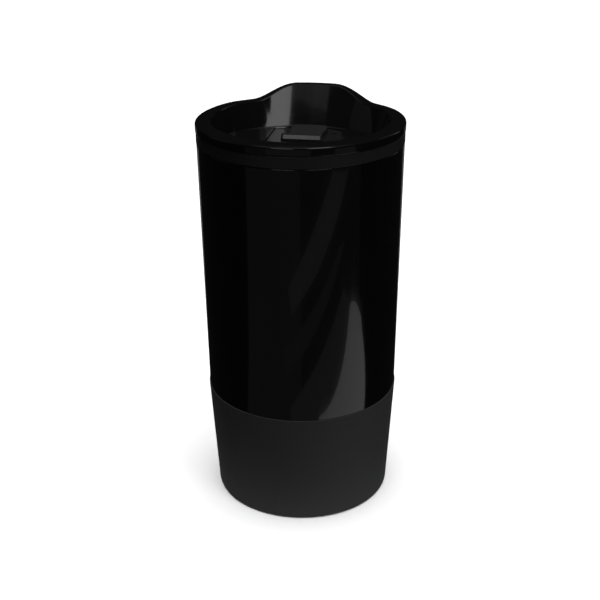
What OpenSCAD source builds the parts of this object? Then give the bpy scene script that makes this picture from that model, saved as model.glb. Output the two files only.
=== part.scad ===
// Insulated drinking tumbler: painted steel shell, plastic liner, rubber grip sleeve and
// a press-in lid with a sliding sip closure. Millimetres, +Z up, +Y towards the raised
// sip side of the lid, origin on the axis at the bottom of the foot.

/* [Shell] */
// Diameter of the painted shell at its top edge
shell_top_d = 86; // [72:0.5:104]
// Diameter of the painted shell just above the grip sleeve
shell_low_d = 83; // [70:0.5:100]
// Height of the shell's top edge above the table
shell_h = 160.6; // [125:0.1:200]
// Wall of the steel shell
shell_wall = 0.6; // [0.4:0.05:1]
// Width of the hem turned in at the shell's top
hem_w = 1.6; // [1.3:0.1:2]

/* [Grip sleeve] */
// Diameter of the sleeve at the foot
foot_d = 77.6; // [64:0.1:94]
// Height of the sleeve
sleeve_h = 50.9; // [36:0.1:70]
// Wall of the sleeve
sleeve_wall = 1.2; // [1:0.05:1.5]
// How far the sleeve's top edge stands proud of the shell
sleeve_proud = 0.35; // [0.2:0.05:0.45]
// Radius of the sleeve's foot edge
foot_round = 1.5; // [1:0.1:2]
// Thickness of the foot that turns in under the shell
foot_t = 1.6; // [1.2:0.1:2.4]
// Width of the foot that turns in under the shell
foot_w = 7; // [5:0.5:10]

/* [Base] */
// Thickness of the base plate
base_t = 2; // [1.5:0.1:3]
// Height of the base cup's side wall
base_wall_h = 13; // [11:0.5:18]
// Wall of the base cup's side
base_wall = 2.2; // [1.8:0.1:3]
// Height of the base cup's seat for the liner pad
base_seat_h = 4; // [3:0.5:6]

/* [Liner] */
// Distance from the shell's outer face in to the liner's mouth
mouth_inset = 4.5; // [4.4:0.05:5.6]
// Depth of the liner's straight mouth
mouth_h = 16; // [14:0.5:22]
// Wall of the liner
liner_wall = 1.6; // [1.2:0.1:1.7]
// Distance from the sleeve's foot diameter in to the liner's outer corner
liner_foot_inset = 6.6; // [6.4:0.1:12]
// Thickness of the flange round the liner's mouth
liner_flange_t = 2.2; // [1.5:0.1:3]
// Thickness of the pad under the liner
pad_t = 2; // [1.5:0.1:3]

/* [Collar] */
// Height of the collar that shows between the shell and the lid
collar_h = 5.1; // [4:0.1:8]
// How far the collar stands proud of the shell
collar_proud = 0.12; // [0.1:0.01:0.5]
// Depth of the collar's skirt inside the shell
collar_skirt_h = 5; // [4.5:0.1:8]

/* [Lid] */
// How far the lid's rim stands proud of the collar
lid_proud = 0.23; // [0.1:0.01:1]
// Height of the rim's crest above the collar
rim_h = 4.4; // [3.8:0.1:6]
// Height of the rim's side wall above the collar
rim_side_h = 3.3; // [2.8:0.1:3.6]
// Rise of the sip side above the rim's crest
sip_rise = 5; // [3:0.1:6]
// Width of the flat top of the sip side
sip_flat_w = 17.4; // [10:0.1:22]
// Width of the sip side where it meets the rim
sip_foot_w = 53; // [38:0.5:60]
// Depth of the dish below the rim's crest
dish_depth = 11.2; // [9:0.1:13.5]
// Thickness of the dish's floor
floor_t = 2; // [1.6:0.1:3]
// Clearance between the lid's plug and the liner's mouth
plug_clear = 1; // [0.7:0.1:1.3]
// Wall of the lid's plug
plug_wall = 2.6; // [2.3:0.1:3.2]
// Length of the plug below the dish's floor
plug_drop = 4.2; // [3:0.1:6]
// How far the dish's mouth lies inside the plug's outer face
dish_mouth_in = 0.6; // [0.4:0.1:1.5]
// How much the dish narrows from its mouth to its floor
dish_taper = 3.2; // [2.7:0.1:4]
// How far the sip side's wall foot lies inside the edge of the dish's floor
sip_foot_in = 5.7; // [4:0.1:7]
// Thickness of the sip side's sloped wall
sip_wall = 1.8; // [1.5:0.1:2.4]

/* [Gasket] */
// Height of the gasket's groove
groove_h = 3; // [2.5:0.1:3.6]
// Depth of the gasket's groove in the plug
groove_depth = 1.4; // [1.1:0.1:1.6]
// Distance of the groove's middle below the collar's top
groove_drop = 3.6; // [3.2:0.1:4.5]
// Gap left between the gasket's lips and the liner
lip_gap = 0.15; // [0.1:0.01:0.3]

/* [Slider] */
// Distance that the slider travels
slider_travel = 13.5; // [11:0.1:16]
// Length of the sip opening across the lid
sip_hole_l = 10.5; // [8:0.1:12]
// Width of the sip opening
sip_hole_w = 6.5; // [5:0.1:7.5]
// Distance from the wall's foot to the middle of the sip opening
sip_hole_back = 8; // [6.5:0.1:10]
// Thickness of the slider's plate
plate_t = 1.7; // [1.5:0.1:2.2]
// Width of the slider's plate beside the thumb bar
plate_near_w = 12.6; // [10:0.1:16]
// Width of the slider's plate over the sip opening
plate_far_w = 15.6; // [14.4:0.1:19]
// Gap between the closed slider and the wall's foot
plate_back_gap = 1.7; // [1:0.1:3]
// Length of the thumb bar
bar_l = 17.9; // [14:0.1:22]
// Thickness of the thumb bar
bar_w = 2.3; // [1.8:0.1:3]
// Height of the thumb bar above the plate
bar_h = 2; // [1.5:0.1:3]
// Distance of the thumb bar from the lid's centre
bar_y = 2.8; // [0:0.1:5]
// Width of the slider's stem
stem_w = 4.8; // [4:0.1:7]
// Length of the slider's stem
stem_l = 6; // [4:0.1:7]
// Thickness of the clip under the floor
clip_t = 1.8; // [1.4:0.1:2.5]
// Width of the clip's lap under the floor on each side of the stem
clip_lap = 3.6; // [2.5:0.1:5]
// Thickness of the seal in the slider
seal_t = 0.9; // [0.7:0.1:1.2]
// Lap of the seal round the sip opening
seal_lap = 1.2; // [1:0.1:1.6]
// Width of the slider's recessed track
track_w = 31; // [26:0.5:36]
// Depth of the slider's recessed track
track_depth = 0.5; // [0.3:0.1:0.8]
// Diameter of the vent
vent_d = 2; // [1.5:0.1:3]
// Distance of the vent from the lid's middle line
vent_x = 11; // [10:0.1:14]

/* [Fits] */
// Gap between pieces that are bonded or pressed together
bond_gap = 0.05; // [0.02:0.01:0.08]
// Gap between pieces that slide or turn on each other
slide_gap = 0.05; // [0.03:0.01:0.1]
// Gap beside the slider's stem in its slot
slot_gap = 0.25; // [0.1:0.05:0.4]

/* [Hidden] */
$fn = 120;
eps = 0.01;

// Shell and sleeve radii. The sleeve sits in a step of the shell.
shell_top_r = shell_top_d / 2;
shell_low_r = shell_low_d / 2;
sleeve_top_r = shell_low_r + sleeve_proud;
foot_r = foot_d / 2;
shell_foot_z = foot_t + bond_gap;
shell_step_h = 0.8;
hem_round = 0.9;
edge_round = 0.35;

// Outer radius of the sleeve at a height
function sleeve_r(z) = foot_r + (sleeve_top_r - foot_r) * z / sleeve_h;

// Outer radius of the shell inside the sleeve, and above it
function tucked_r(z) = sleeve_r(z) - sleeve_wall - bond_gap;
function shell_r(z) = shell_low_r
    + (shell_top_r - shell_low_r) * (z - sleeve_h) / (shell_h - sleeve_h);

// Collar and the liner's mouth
collar_r = shell_top_r + collar_proud;
collar_top = shell_h + collar_h;
mouth_r = shell_top_r - mouth_inset;
liner_mouth_r = mouth_r + liner_wall;
collar_bore_r = liner_mouth_r + bond_gap;
liner_flange_r = collar_bore_r + 1.2;
neck_r = shell_top_r - hem_w - bond_gap;
bead_r = shell_r(shell_h - collar_skirt_h) - shell_wall - 2 * bond_gap;
bead_h = 1.4;
seal_ring_h = 1.6;
liner_foot_r = foot_r - liner_foot_inset;
pad_z = foot_t + bond_gap + base_t + base_seat_h;
liner_foot_z = pad_z + pad_t;
pad_inset = 4;
liner_round = 5;
mouth_round = 0.6;

// Base cup
cup_z = foot_t + bond_gap;
cup_r = tucked_r(cup_z) - shell_wall - bond_gap;
cup_slope = (sleeve_top_r - foot_r) / sleeve_h;
base_seal_z = 8.5;
base_seal_w = 1.2;
base_seal_h = 1.8;
seat_wall = 2;

// Lid heights and radii
lid_seat = collar_top + slide_gap;
rim_top = collar_top + rim_h;
sip_top = rim_top + sip_rise;
floor_z = rim_top - dish_depth;
floor_low = floor_z - floor_t;
plug_low = floor_low - plug_drop;
lid_r = collar_r + lid_proud;
plug_r = mouth_r - plug_clear;
plug_bore_r = plug_r - plug_wall;
dish_mouth_r = plug_r - dish_mouth_in;
dish_floor_r = dish_mouth_r - dish_taper;
dish_flare = 0.66;
crest_r = dish_mouth_r + 0.6 * (lid_r - dish_mouth_r);
lead_in = 0.8;
rim_round = 1.1;
lip_round = 0.7;
sip_round = 1.3;
flange_h = 2.4;
flange_web = 0.8;

// The sip side's inner wall is a cone whose axis stands in front of the lid's own axis
sip_shift = 14;
sip_slope = 0.73;
sip_foot_y = dish_floor_r - sip_foot_in;
sip_cone_r = sip_foot_y + sip_shift;
sip_cone_wall = sip_wall * sqrt(1 + sip_slope * sip_slope);

// Gasket
groove_z = collar_top - groove_drop;
groove_r = plug_r - groove_depth;
lip_r = mouth_r - lip_gap;
lip_h = 0.9;

// Slider
track_z = floor_z - track_depth;
track_front = -0.7 * dish_floor_r;
plate_z = track_z + slide_gap;
plate_top = plate_z + plate_t;
plate_back = sip_foot_y - plate_back_gap;
plate_front = bar_y - bar_w / 2;
corner_r = 2.2;
sip_hole_y = sip_foot_y - sip_hole_back;
stem_y = plate_front + stem_l / 2 + 1;
stem_low = floor_low - slide_gap - clip_t;
clip_head = 0.6;
seal_hold = 0.15;

// Points of an arc, from angle a to angle b, about a centre
function arc(c, r, a, b, n = 8) = [for (i = [0:n]) let (t = a + (b - a) * i / n)
    [c[0] + r * cos(t), c[1] + r * sin(t)]];

// Height of the sip side's smooth rise at a distance from the middle line
function sip_wave(x) = let (near = sip_flat_w / 2, far = sip_foot_w / 2, d = abs(x))
    d <= near ? sip_top : d >= far ? rim_top
    : rim_top + sip_rise * (1 + cos(180 * (d - near) / (far - near))) / 2;

// Flat bar with round ends along X
module round_slot(l, w) {
    square([l - w, w], center = true);
    for (s = [-1, 1])
        translate([s * (l - w) / 2, 0])
            circle(d = w);
}

// Painted steel shell with a turned-in hem at the top and a step for the sleeve
module outer_shell() {
    step_z = sleeve_h - shell_step_h;
    color([0.02, 0.02, 0.02])
        rotate_extrude()
            polygon(concat(
                [[tucked_r(shell_foot_z), shell_foot_z],
                 [tucked_r(step_z), step_z + 2 * bond_gap],
                 [shell_low_r, sleeve_h + bond_gap]],
                arc([shell_r(shell_h) - hem_round, shell_h - hem_round], hem_round, 0, 90),
                [[shell_top_r - hem_w, shell_h],
                 [shell_top_r - hem_w, shell_h - shell_wall]],
                arc([shell_r(shell_h) - hem_round, shell_h - hem_round],
                    hem_round - shell_wall, 90, 0),
                [[shell_low_r - shell_wall, sleeve_h + shell_wall],
                 [tucked_r(step_z) - shell_wall, step_z + shell_wall],
                 [tucked_r(shell_foot_z) - shell_wall, shell_foot_z]]));
}

// Food-grade liner that holds the drink, with a flange that seats in the collar
module inner_liner() {
    inner_foot_r = liner_foot_r - liner_wall;
    inner_foot_z = liner_foot_z + liner_wall;
    color([0.10, 0.10, 0.10])
        rotate_extrude()
            polygon(concat(
                [[0, liner_foot_z]],
                arc([liner_foot_r - liner_round, liner_foot_z + liner_round],
                    liner_round, -90, 0),
                [[liner_mouth_r, collar_top - mouth_h],
                 [liner_mouth_r, collar_top - liner_flange_t],
                 [liner_flange_r, collar_top - liner_flange_t],
                 [liner_flange_r, collar_top]],
                arc([mouth_r + mouth_round, collar_top - mouth_round], mouth_round, 90, 180),
                [[mouth_r, collar_top - mouth_h]],
                arc([liner_foot_r - liner_round, liner_foot_z + liner_round],
                    liner_round - liner_wall, 0, -90),
                [[0, inner_foot_z]]));
}

// Collar that caps the shell, snaps under its hem and carries the liner
module rim_collar() {
    skirt_low = shell_h - collar_skirt_h;
    seat_z = collar_top - liner_flange_t - bond_gap;
    bead_top = shell_h - shell_wall - bond_gap;
    seat_r = liner_flange_r + bond_gap;
    color([0.09, 0.09, 0.09])
        rotate_extrude()
            polygon(concat(
                [[collar_bore_r, skirt_low],
                 [bead_r, skirt_low],
                 [bead_r, skirt_low + bead_h],
                 [neck_r, skirt_low + bead_h],
                 [neck_r, skirt_low + bead_h + seal_ring_h],
                 [bead_r, skirt_low + bead_h + seal_ring_h],
                 [bead_r, bead_top - (bead_r - neck_r)],
                 [neck_r, bead_top],
                 [neck_r, shell_h + bond_gap],
                 [collar_r - edge_round, shell_h + bond_gap]],
                arc([collar_r - edge_round, shell_h + bond_gap + edge_round],
                    edge_round, -90, 0, 4),
                arc([collar_r - edge_round, collar_top - edge_round], edge_round, 0, 90, 4),
                [[seat_r, collar_top],
                 [seat_r, seat_z],
                 [collar_bore_r, seat_z]]));
}

// Silicone ring between the collar's skirt and the shell
module collar_seal() {
    ring_low = shell_h - collar_skirt_h + bead_h + bond_gap;
    color([0.75, 0.75, 0.72])
        rotate_extrude()
            translate([neck_r + bond_gap, ring_low])
                square([bead_r - neck_r, seal_ring_h - 2 * bond_gap]);
}

// Rigid cup that closes the shell's lower end and carries the liner's pad
module base_cup() {
    groove_low = base_seal_z - base_seal_h / 2;
    groove_high = base_seal_z + base_seal_h / 2;
    wall_top = cup_z + base_wall_h;
    seat_r = liner_foot_r - pad_inset + seat_wall;
    color([0.07, 0.07, 0.07])
        rotate_extrude()
            polygon([
                [0, cup_z],
                [cup_r, cup_z],
                [cup_r + cup_slope * (groove_low - cup_z), groove_low],
                [cup_r - base_seal_w, groove_low],
                [cup_r - base_seal_w, groove_high],
                [cup_r + cup_slope * (groove_high - cup_z), groove_high],
                [cup_r + cup_slope * base_wall_h, wall_top],
                [cup_r + cup_slope * base_wall_h - base_wall, wall_top],
                [cup_r - base_wall, cup_z + base_t],
                [seat_r, cup_z + base_t],
                [seat_r, pad_z + pad_t / 2],
                [seat_r - seat_wall, pad_z + pad_t / 2],
                [seat_r - seat_wall, pad_z],
                [seat_r - 2 * seat_wall, pad_z],
                [seat_r - 2 * seat_wall, cup_z + base_t],
                [0, cup_z + base_t]]);
}

// Silicone ring between the base cup and the shell
module base_seal() {
    ring_low = base_seal_z - base_seal_h / 2 + bond_gap;
    ring_in_r = cup_r - base_seal_w + bond_gap;
    ring_out_r = tucked_r(ring_low) - shell_wall - bond_gap;
    color([0.75, 0.75, 0.72])
        rotate_extrude()
            translate([ring_in_r, ring_low])
                square([ring_out_r - ring_in_r, base_seal_h - 2 * bond_gap]);
}

// Soft pad that holds the liner's floor off the base cup
module liner_pad() {
    pad_r = liner_foot_r - pad_inset - bond_gap;
    pad_bore_r = pad_r - 3 * seat_wall;
    color([0.80, 0.80, 0.78])
        rotate_extrude()
            translate([pad_bore_r, pad_z + bond_gap])
                square([pad_r - pad_bore_r, pad_t - 2 * bond_gap]);
}

// Rubber grip sleeve with a foot turned in under the shell
module grip_sleeve() {
    color([0.16, 0.16, 0.16])
        rotate_extrude()
            polygon(concat(
                [[foot_r - foot_w, 0]],
                arc([foot_r - foot_round, foot_round], foot_round, -90, 0),
                arc([shell_low_r, sleeve_h - sleeve_proud], sleeve_proud, 0, 90, 4),
                [[sleeve_r(sleeve_h - shell_step_h) - sleeve_wall, sleeve_h - shell_step_h],
                 [sleeve_r(foot_t) - sleeve_wall, foot_t],
                 [foot_r - foot_w, foot_t]]));
}

// Outline of the lid's plug, flange and rim, up to a crest at a height
module lid_outline(top, crest, out_round) {
    side_top = top - (rim_top - collar_top - rim_side_h);
    polygon(concat(
        [[0, plug_low],
         [plug_r - lead_in, plug_low],
         [plug_r, plug_low + 2 * lead_in],
         [plug_r, groove_z - groove_h / 2],
         [groove_r, groove_z - groove_h / 2],
         [groove_r, groove_z + groove_h / 2],
         [plug_r, groove_z + groove_h / 2],
         [plug_r, lid_seat],
         [lid_r - edge_round, lid_seat]],
        arc([lid_r - edge_round, lid_seat + edge_round], edge_round, -90, 0, 4),
        arc([lid_r - out_round, side_top - out_round / 2], out_round, 0, 60),
        [[crest, top],
         [0, top]]));
}

// Space inside the dish: a cone, narrowed on the sip side by the leaning cone
module dish_space(top) {
    mouth_z = rim_top - lip_round / 2;
    intersection() {
        union() {
            translate([0, 0, floor_z])
                cylinder(h = mouth_z - floor_z, r1 = dish_floor_r, r2 = dish_mouth_r);
            translate([0, 0, mouth_z - eps])
                cylinder(h = top - mouth_z + eps, r1 = dish_mouth_r,
                    r2 = dish_mouth_r + dish_flare * (top - mouth_z));
        }
        translate([0, -sip_shift, floor_z])
            cylinder(h = top - floor_z, r1 = sip_cone_r,
                r2 = sip_cone_r + sip_slope * (top - floor_z));
    }
}

// Space under the floor, and behind the sip side's sloped wall
module under_space() {
    hollow_top = collar_top - flange_web;
    translate([0, 0, plug_low - 1])
        cylinder(h = floor_low - plug_low + 1, r = plug_bore_r);
    difference() {
        translate([0, 0, floor_low - eps])
            cylinder(h = hollow_top - floor_low, r = plug_bore_r);
        translate([0, -sip_shift, floor_low - 1])
            cylinder(h = hollow_top - floor_low + 2,
                r1 = sip_cone_r + sip_cone_wall - sip_slope * (floor_t + 1),
                r2 = sip_cone_r + sip_cone_wall + sip_slope * (hollow_top - floor_z + 1));
    }
}

// Recessed track, sip opening, stem slot and vent in the floor
module floor_cuts() {
    slot_front = stem_y - stem_l / 2 - slider_travel - slot_gap;
    slot_back = stem_y + stem_l / 2 + slot_gap;
    slot_w = stem_w + 2 * slot_gap;
    translate([0, 0, track_z])
        linear_extrude(track_depth + eps)
            intersection() {
                circle(r = dish_floor_r);
                translate([0, -sip_shift])
                    circle(r = sip_cone_r);
                translate([-track_w / 2, track_front])
                    square([track_w, 2 * dish_floor_r]);
            }
    translate([0, 0, floor_low - 1])
        linear_extrude(floor_t + 2) {
            translate([0, sip_hole_y])
                round_slot(sip_hole_l, sip_hole_w);
            translate([0, (slot_front + slot_back) / 2])
                square([slot_w, slot_back - slot_front], center = true);
            translate([vent_x, sip_hole_y])
                circle(d = vent_d);
        }
}

// Press-in lid: plug, flange, rim with a raised sip side, and a dish
module lid_body() {
    sip_crest = lid_r - sip_round - 0.6;
    color([0.03, 0.03, 0.03])
        difference() {
            union() {
                rotate_extrude()
                    lid_outline(rim_top, crest_r, rim_round);
                intersection() {
                    rotate_extrude()
                        lid_outline(sip_top, sip_crest, sip_round);
                    translate([0, lid_r + 1, 0])
                        rotate([90, 0, 0])
                            linear_extrude(lid_r + 1)
                                polygon(concat(
                                    [[-sip_foot_w / 2, lid_seat + flange_h],
                                     [sip_foot_w / 2, lid_seat + flange_h]],
                                    [for (i = [24:-1:-24]) let (x = sip_foot_w * i / 48)
                                        [x, sip_wave(x)]]));
                }
            }
            dish_space(sip_top + 1);
            under_space();
            floor_cuts();
        }
}

// Silicone gasket with two lips, in the plug's groove
module lid_gasket() {
    low = groove_z - groove_h / 2 + slide_gap;
    high = groove_z + groove_h / 2 - slide_gap;
    back_r = groove_r + slide_gap;
    face_r = plug_r - slide_gap;
    color([0.12, 0.12, 0.12])
        rotate_extrude()
            polygon([
                [back_r, low],
                [face_r, low],
                [lip_r, low + lip_h / 3],
                [lip_r, low + 2 * lip_h / 3],
                [face_r, low + lip_h],
                [face_r, high - lip_h],
                [lip_r, high - 2 * lip_h / 3],
                [lip_r, high - lip_h / 3],
                [face_r, high],
                [back_r, high]]);
}

// Outline of the slider's plate: a fan that ends along the foot of the sip side's wall
module plate_outline() {
    back_r = plate_back + sip_shift;
    intersection() {
        translate([0, -sip_shift])
            circle(r = back_r);
        polygon(concat(
            [[-plate_near_w / 2, plate_front],
             [plate_near_w / 2, plate_front]],
            arc([plate_far_w / 2 - corner_r, plate_back - corner_r], corner_r, 0, 90),
            arc([corner_r - plate_far_w / 2, plate_back - corner_r], corner_r, 90, 180)));
    }
}

// Slider: plate, thumb bar, and a stem that goes down through the slot
module slider() {
    pocket_l = sip_hole_l + 2 * seal_lap + 2 * bond_gap;
    pocket_w = sip_hole_w + 2 * seal_lap + 2 * bond_gap;
    color([0.05, 0.05, 0.05])
        difference() {
            union() {
                translate([0, 0, plate_z])
                    linear_extrude(plate_t)
                        plate_outline();
                translate([0, bar_y, plate_z])
                    linear_extrude(plate_t + bar_h)
                        round_slot(bar_l, bar_w);
                translate([-stem_w / 2, stem_y - stem_l / 2, stem_low - clip_head])
                    cube([stem_w, stem_l, plate_z + eps - stem_low + clip_head]);
            }
            translate([0, sip_hole_y, plate_z - 1])
                linear_extrude(seal_t + bond_gap + 1)
                    round_slot(pocket_l, pocket_w);
        }
}

// Silicone pad in the slider that closes the sip opening
module slider_seal() {
    color([0.14, 0.14, 0.14])
        translate([0, sip_hole_y, plate_z])
            linear_extrude(seal_t)
                round_slot(sip_hole_l + 2 * seal_lap, sip_hole_w + 2 * seal_lap);
}

// Clip on the stem's lower end that holds the slider down on the floor
module slider_clip() {
    hole_w = stem_w + 2 * bond_gap;
    hole_l = stem_l + 2 * bond_gap;
    color([0.30, 0.30, 0.30])
        translate([0, stem_y, stem_low])
            linear_extrude(clip_t)
                difference() {
                    square([hole_w + 2 * clip_lap, hole_l + clip_lap], center = true);
                    square([hole_w, hole_l], center = true);
                }
}

outer_shell();
inner_liner();
rim_collar();
collar_seal();
base_cup();
base_seal();
liner_pad();
grip_sleeve();
lid_body();
lid_gasket();
slider();
slider_seal();
slider_clip();
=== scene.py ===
"""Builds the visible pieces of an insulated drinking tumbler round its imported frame, and the stage."""

import math

import bmesh
import bpy
from bpy.props import FloatProperty, IntProperty, PointerProperty, StringProperty
from mathutils import Matrix, Vector


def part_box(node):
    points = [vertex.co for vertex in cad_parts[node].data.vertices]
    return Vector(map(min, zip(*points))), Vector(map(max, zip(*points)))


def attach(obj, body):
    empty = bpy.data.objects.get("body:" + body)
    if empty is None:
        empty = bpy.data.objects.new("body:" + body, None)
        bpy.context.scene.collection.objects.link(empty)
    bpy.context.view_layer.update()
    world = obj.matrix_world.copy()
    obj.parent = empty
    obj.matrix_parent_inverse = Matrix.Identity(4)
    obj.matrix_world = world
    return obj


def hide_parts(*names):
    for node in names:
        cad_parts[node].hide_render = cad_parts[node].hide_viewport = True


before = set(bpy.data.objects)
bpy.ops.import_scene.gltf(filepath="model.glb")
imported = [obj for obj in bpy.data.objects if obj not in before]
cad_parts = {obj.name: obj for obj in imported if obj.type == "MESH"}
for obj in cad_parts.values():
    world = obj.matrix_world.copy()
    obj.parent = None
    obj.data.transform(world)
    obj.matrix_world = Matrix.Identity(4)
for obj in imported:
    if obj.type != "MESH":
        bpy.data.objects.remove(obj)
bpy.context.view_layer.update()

bl_info = {
    "name": "Insulated Tumbler",
    "version": (1, 0, 0),
    "blender": (4, 5, 0),
    "location": "3D View > Sidebar > Tumbler",
    "description": "Builds a double-wall drinking tumbler with a press-in slide lid",
    "category": "Add Mesh",
}

MM = 0.001


def top_of(node):
    """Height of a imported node's highest point."""
    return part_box(node)[1].z


def foot_of(node):
    """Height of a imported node's lowest point."""
    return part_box(node)[0].z


def radius_of(node):
    """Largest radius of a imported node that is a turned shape."""
    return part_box(node)[1].x


def length(name, description, size):
    """A length, given in mm and kept in metres."""
    settings = {"min": 0.0, "precision": 5, "subtype": "DISTANCE", "unit": "LENGTH"}
    return FloatProperty(name=name, description=description, default=size * MM, **settings)


def angle_of(name, description, degrees):
    """An angle, given in degrees and kept in radians."""
    return FloatProperty(name=name, description=description, default=math.radians(degrees), subtype="ANGLE")


def steps_round(description, default):
    """How many steps a round shape is drawn in."""
    return IntProperty(name="Segments", description=description, default=default, min=24, max=720)


def colour(name, description, default):
    """A colour written as the hex value that a paint or plastics maker would give."""
    return StringProperty(name=name, description=description, default=default)


class TumblerBodySizes(bpy.types.PropertyGroup):
    """Sizes of the pieces that stay together when the lid is off."""

    shell_low_r: length("Shell radius above sleeve", "Shell's outer radius at the sleeve's top", 41.5)
    shell_wall: length("Shell wall", "Wall of the steel shell", 0.6)
    hem_width: length("Hem width", "Width of the hem turned in at the shell's top", 1.6)
    foot_r: length("Foot radius", "Outer radius of the grip sleeve at the foot", 38.8)
    foot_width: length("Foot width", "Width of the foot turned in under the shell", 7.0)
    foot_height: length("Foot thickness", "Thickness of the foot turned in under the shell", 1.6)
    foot_round: length("Foot edge radius", "Radius of the sleeve's outer foot edge", 1.5)
    sleeve_wall: length("Sleeve wall", "Wall of the grip sleeve", 1.2)
    step_height: length("Shell step", "Height of the step that the sleeve's top edge sits in", 0.8)
    liner_wall: length("Liner wall", "Wall of the liner", 1.6)
    liner_mouth_r: length("Mouth radius", "Inner radius of the liner's straight mouth", 38.5)
    liner_foot_r: length("Liner foot radius", "Outer radius of the liner at its floor", 32.2)
    mouth_height: length("Mouth depth", "Depth of the liner's straight mouth", 16.0)
    flange_height: length("Liner flange", "Thickness of the flange round the liner's mouth", 2.2)
    skirt_height: length("Collar skirt", "Depth of the collar's skirt inside the shell", 5.0)
    base_height: length("Base plate", "Thickness of the base cup's plate", 2.0)
    base_wall: length("Base cup wall", "Wall of the base cup's side", 2.2)
    bond_gap: length("Joint gap", "Gap between pieces that are bonded or pressed together", 0.05)
    segments: steps_round("Steps round each turned piece", 224)


class TumblerLidSizes(bpy.types.PropertyGroup):
    """Sizes of the press-in lid."""

    rim_height: length("Rim height", "Height of the rim's crest above the collar", 4.4)
    side_height: length("Side wall height", "Height of the rim's side wall above the collar", 3.3)
    sip_flat: angle_of("Sip flat", "Half angle of the raised side's level top", 11.5)
    sip_foot: angle_of("Sip foot", "Half angle where the raised side meets the rim", 40)
    rim_dip: length("Rim dip", "Depth of the hollow in the rim beside the raised side", 0.5)
    dish_depth: length("Dish depth", "Depth of the dish below the rim's crest", 11.2)
    floor_height: length("Floor", "Thickness of the dish's floor", 2.0)
    plug_r: length("Plug radius", "Outer radius of the plug", 37.5)
    plug_wall: length("Plug wall", "Wall of the plug", 2.6)
    dish_mouth_r: length("Dish mouth radius", "Radius of the dish at the rim", 36.9)
    dish_floor_r: length("Dish floor radius", "Radius of the dish at its floor", 33.7)
    groove_depth: length("Groove depth", "Depth of the gasket's groove", 1.4)
    groove_height: length("Groove height", "Height of the gasket's groove", 3.0)
    groove_drop: length("Groove drop", "Distance of the groove's middle below the collar's top", 3.6)
    sip_shift: length("Sip cone shift", "Distance of the leaning wall's axis in front of the lid's", 14.0)
    sip_foot_y: length("Sip wall foot", "Distance of the leaning wall's foot from the lid's centre", 28.0)
    sip_wall: length("Sip wall", "Thickness of the leaning wall", 1.8)
    track_width: length("Track width", "Width of the slider's recessed track", 31.0)
    track_depth: length("Track depth", "Depth of the slider's recessed track", 0.5)
    sip_hole_length: length("Sip opening length", "Length of the sip opening across the lid", 10.5)
    sip_hole_width: length("Sip opening width", "Width of the sip opening", 6.5)
    sip_hole_back: length("Sip opening place", "From the leaning wall's foot to the opening's middle", 8.0)
    vent: length("Vent", "Diameter of the vent", 2.0)
    vent_x: length("Vent place", "Distance of the vent from the lid's middle line", 11.0)
    segments: steps_round("Steps round the lid", 288)


class TumblerSliderSizes(bpy.types.PropertyGroup):
    """Sizes of the sliding sip closure."""

    plate_height: length("Plate", "Thickness of the slider's plate", 1.7)
    near_width: length("Near width", "Width of the plate beside the thumb bar", 12.6)
    far_width: length("Far width", "Width of the plate over the sip opening", 15.6)
    corner: length("Corner radius", "Radius of the plate's far corners", 2.2)
    bar_width: length("Bar thickness", "Thickness of the thumb bar", 2.3)
    bar_lean: length("Thumb bar lean", "How far the bar's front face leans back at its top", 0.7)
    stem_width: length("Stem width", "Width of the stem that goes down through the slot", 4.8)
    stem_length: length("Stem length", "Length of the stem that goes down through the slot", 6.0)
    slot_gap: length("Slot gap", "Gap beside the stem in its slot", 0.25)
    travel: length("Travel", "Distance that the slider travels", 13.5)
    seal_height: length("Seal", "Thickness of the seal let into the plate", 0.9)
    seal_lap: length("Seal lap", "Lap of the seal round the sip opening", 1.2)


class TumblerFinishes(bpy.types.PropertyGroup):
    """Colours of the finishes, as sRGB hex values."""

    lacquer: colour("Lacquer", "Gloss lacquer on the steel shell", "#060607")
    collar: colour("Collar", "Satin polypropylene of the collar", "#19191A")
    sleeve: colour("Sleeve", "Moulded rubber of the grip sleeve", "#2B2B2C")
    lid: colour("Lid", "Gloss ABS of the lid", "#080809")
    slider: colour("Slider", "Satin ABS of the slider", "#19191A")
    liner: colour("Liner", "Polypropylene of the liner and base", "#161617")
    silicone: colour("Dark silicone", "Silicone of the gasket and the slider's seal", "#1E1E1F")
    clear: colour("Clear silicone", "Unpigmented silicone of the inner seals", "#C6C5BE")
    acetal: colour("Acetal", "Acetal of the slider's clip", "#1A1A1B")
    floor: colour("Floor", "Painted studio floor", "#F2F2F2")


class TumblerStage(bpy.types.PropertyGroup):
    """Camera, floor and lights."""

    azimuth: angle_of("Azimuth", "Turn of the camera round the tumbler", 10)
    distance: length("Distance", "Camera's distance from the tumbler's axis", 437.19)
    height: length("Height", "Camera's height above the floor", 281.49)
    pitch: angle_of("Pitch", "Camera's tilt below the horizon", 23.865)
    pan: angle_of("Pan", "Camera's turn to the side", -0.095)
    roll: angle_of("Roll", "Camera's roll", -0.41)
    lens: FloatProperty(
        name="Lens", description="Focal length on a 36 mm sensor", default=65.15, unit="CAMERA"
    )


# ---------------------------------------------------------------- materials


def linear(hex_colour):
    """Turns an sRGB hex value into the linear colour that a shader takes."""
    values = [int(hex_colour[i : i + 2], 16) / 255 for i in (1, 3, 5)]
    return [v / 12.92 if v <= 0.04045 else ((v + 0.055) / 1.055) ** 2.4 for v in values] + [1.0]


def add_node(tree, kind, inputs=None, **settings):
    """Adds a node. An input given a socket is linked to it, and one given a value is set."""
    made = tree.nodes.new(kind)
    for key, value in settings.items():
        setattr(made, key, value)
    for key, value in (inputs or {}).items():
        socket = made.inputs[key]
        if isinstance(value, bpy.types.NodeSocket):
            tree.links.new(value, socket)
        else:
            socket.default_value = value
    return made


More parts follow.
